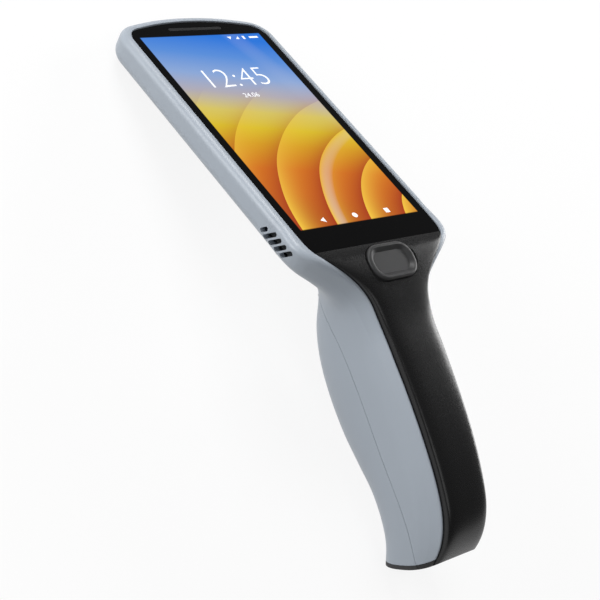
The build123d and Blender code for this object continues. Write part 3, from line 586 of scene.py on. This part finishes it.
def softbox(name, place, size, power):
    """A rectangular lamp turned towards the middle of the terminal."""
    middle = Vector((0, 0, 0.03))
    lamp = bpy.data.lights.new(name, "AREA")
    lamp.shape = "RECTANGLE"
    lamp.size, lamp.size_y = size
    lamp.energy = power
    made = bpy.data.objects.new(name, lamp)
    bpy.context.scene.collection.objects.link(made)
    made.location = place
    made.rotation_euler = (middle - Vector(place)).to_track_quat("-Z", "Y").to_euler()


def set_view(scene):
    """The camera, above the left side of the terminal."""
    right, down, ahead = DISPLAY_SEEN_AT
    place = -(VIEW_RIGHT * right + VIEW_DOWN * down + VIEW_AHEAD * ahead)
    turn = Matrix((VIEW_RIGHT, -VIEW_DOWN, -VIEW_AHEAD)).transposed().to_4x4()
    lens = bpy.data.cameras.new("view")
    lens.sensor_fit, lens.sensor_width = "HORIZONTAL", FILM_WIDTH
    lens.lens = FILM_WIDTH * FOCAL_PER_WIDTH
    lens.clip_start, lens.clip_end = 0.01, 20
    eye = bpy.data.objects.new("view", lens)
    scene.collection.objects.link(eye)
    seat = HEAD @ Matrix.Translation(place) @ turn
    eye.matrix_world = Matrix.LocRotScale(seat.to_translation(), seat.to_quaternion(), None)
    scene.camera = eye


def set_floor(scene, share_of_glow):
    """The paper under the terminal."""
    form = bmesh.new()
    bmesh.ops.create_grid(form, x_segments=2, y_segments=2, size=3.0)
    ground = bpy.data.objects.new("floor", to_mesh(form, "floor", smooth=True))
    scene.collection.objects.link(ground)
    ground.data.materials.append(paper(share_of_glow).material)


def set_room(scene, room_light):
    """White where it is seen straight on, through glass or mirrored low, and a dim light."""
    white_below, fade = 0.2, 0.15
    world = bpy.data.worlds.new("white_room")
    scene.world = world
    world.use_nodes = True
    air = Nodes(world.node_tree)
    straight, mirrored, through = air.rays()
    direction = air.add("ShaderNodeTexCoord").outputs["Generated"]
    height = Value(air, air.add("ShaderNodeSeparateXYZ", {"Vector": direction}).outputs["Z"])
    near_floor = ((white_below - height) / fade).clamped()
    white = (straight + through + mirrored * near_floor).clamped()
    backdrop = air.tree.nodes["Background"]
    air.fill(backdrop.inputs["Color"], (1, 1, 1))
    air.fill(backdrop.inputs["Strength"], white * (1 - room_light) + room_light)


class TERMINAL_OT_studio(bpy.types.Operator):
    """Set the floor, the soft lights, the white room and the camera"""
    bl_idname = "terminal.studio"
    bl_label = "Studio"

    def execute(self, context):
        scene, studio = context.scene, context.scene.terminal_studio
        set_view(scene)
        set_floor(scene, studio.paper)
        softbox("key_softbox", (-0.9, 0.5, 0.3), (0.6, 0.6), studio.key)
        softbox("top_softbox", (-0.3, -0.5, 1.0), (0.7, 0.7), studio.top)
        softbox("back_softbox", (0.0, 0.85, 0.75), (0.6, 0.35), studio.back)
        softbox("right_softbox", (0.95, 0.2, 0.4), (0.45, 0.3), studio.right)
        softbox("low_strip", (1.0, 0.0, 0.1), (0.5, 0.15), studio.strip)
        set_room(scene, studio.room)
        scene.view_settings.view_transform = "Standard"
        return {"FINISHED"}


class TERMINAL_PT_panel(bpy.types.Panel):
    """Lists the steps that dress the terminal"""
    bl_idname = "TERMINAL_PT_panel"
    bl_label = "Barcode data terminal"
    bl_space_type = "VIEW_3D"
    bl_region_type = "UI"
    bl_category = "Terminal"

    def draw(self, context):
        for step in STEPS:
            self.layout.operator(step.bl_idname)


GROUPS = (TerminalFinishes, TerminalScreen, TerminalStudio)
STEPS = (TERMINAL_OT_housing, TERMINAL_OT_front, TERMINAL_OT_display, TERMINAL_OT_screen_marks,
         TERMINAL_OT_inside, TERMINAL_OT_studio)


def register():
    for kind in (*GROUPS, *STEPS, TERMINAL_PT_panel):
        bpy.utils.register_class(kind)
    bpy.types.Scene.terminal_finishes = PointerProperty(type=TerminalFinishes)
    bpy.types.Scene.terminal_screen = PointerProperty(type=TerminalScreen)
    bpy.types.Scene.terminal_studio = PointerProperty(type=TerminalStudio)


def unregister():
    del bpy.types.Scene.terminal_finishes
    del bpy.types.Scene.terminal_screen
    del bpy.types.Scene.terminal_studio
    for kind in (TERMINAL_PT_panel, *reversed(STEPS), *reversed(GROUPS)):
        bpy.utils.unregister_class(kind)


def main():
    register()
    bpy.ops.terminal.housing()
    bpy.ops.terminal.front()
    bpy.ops.terminal.display()
    bpy.ops.terminal.screen_marks()
    bpy.ops.terminal.inside()
    bpy.ops.terminal.studio()


if __name__ == "__main__":
    main()
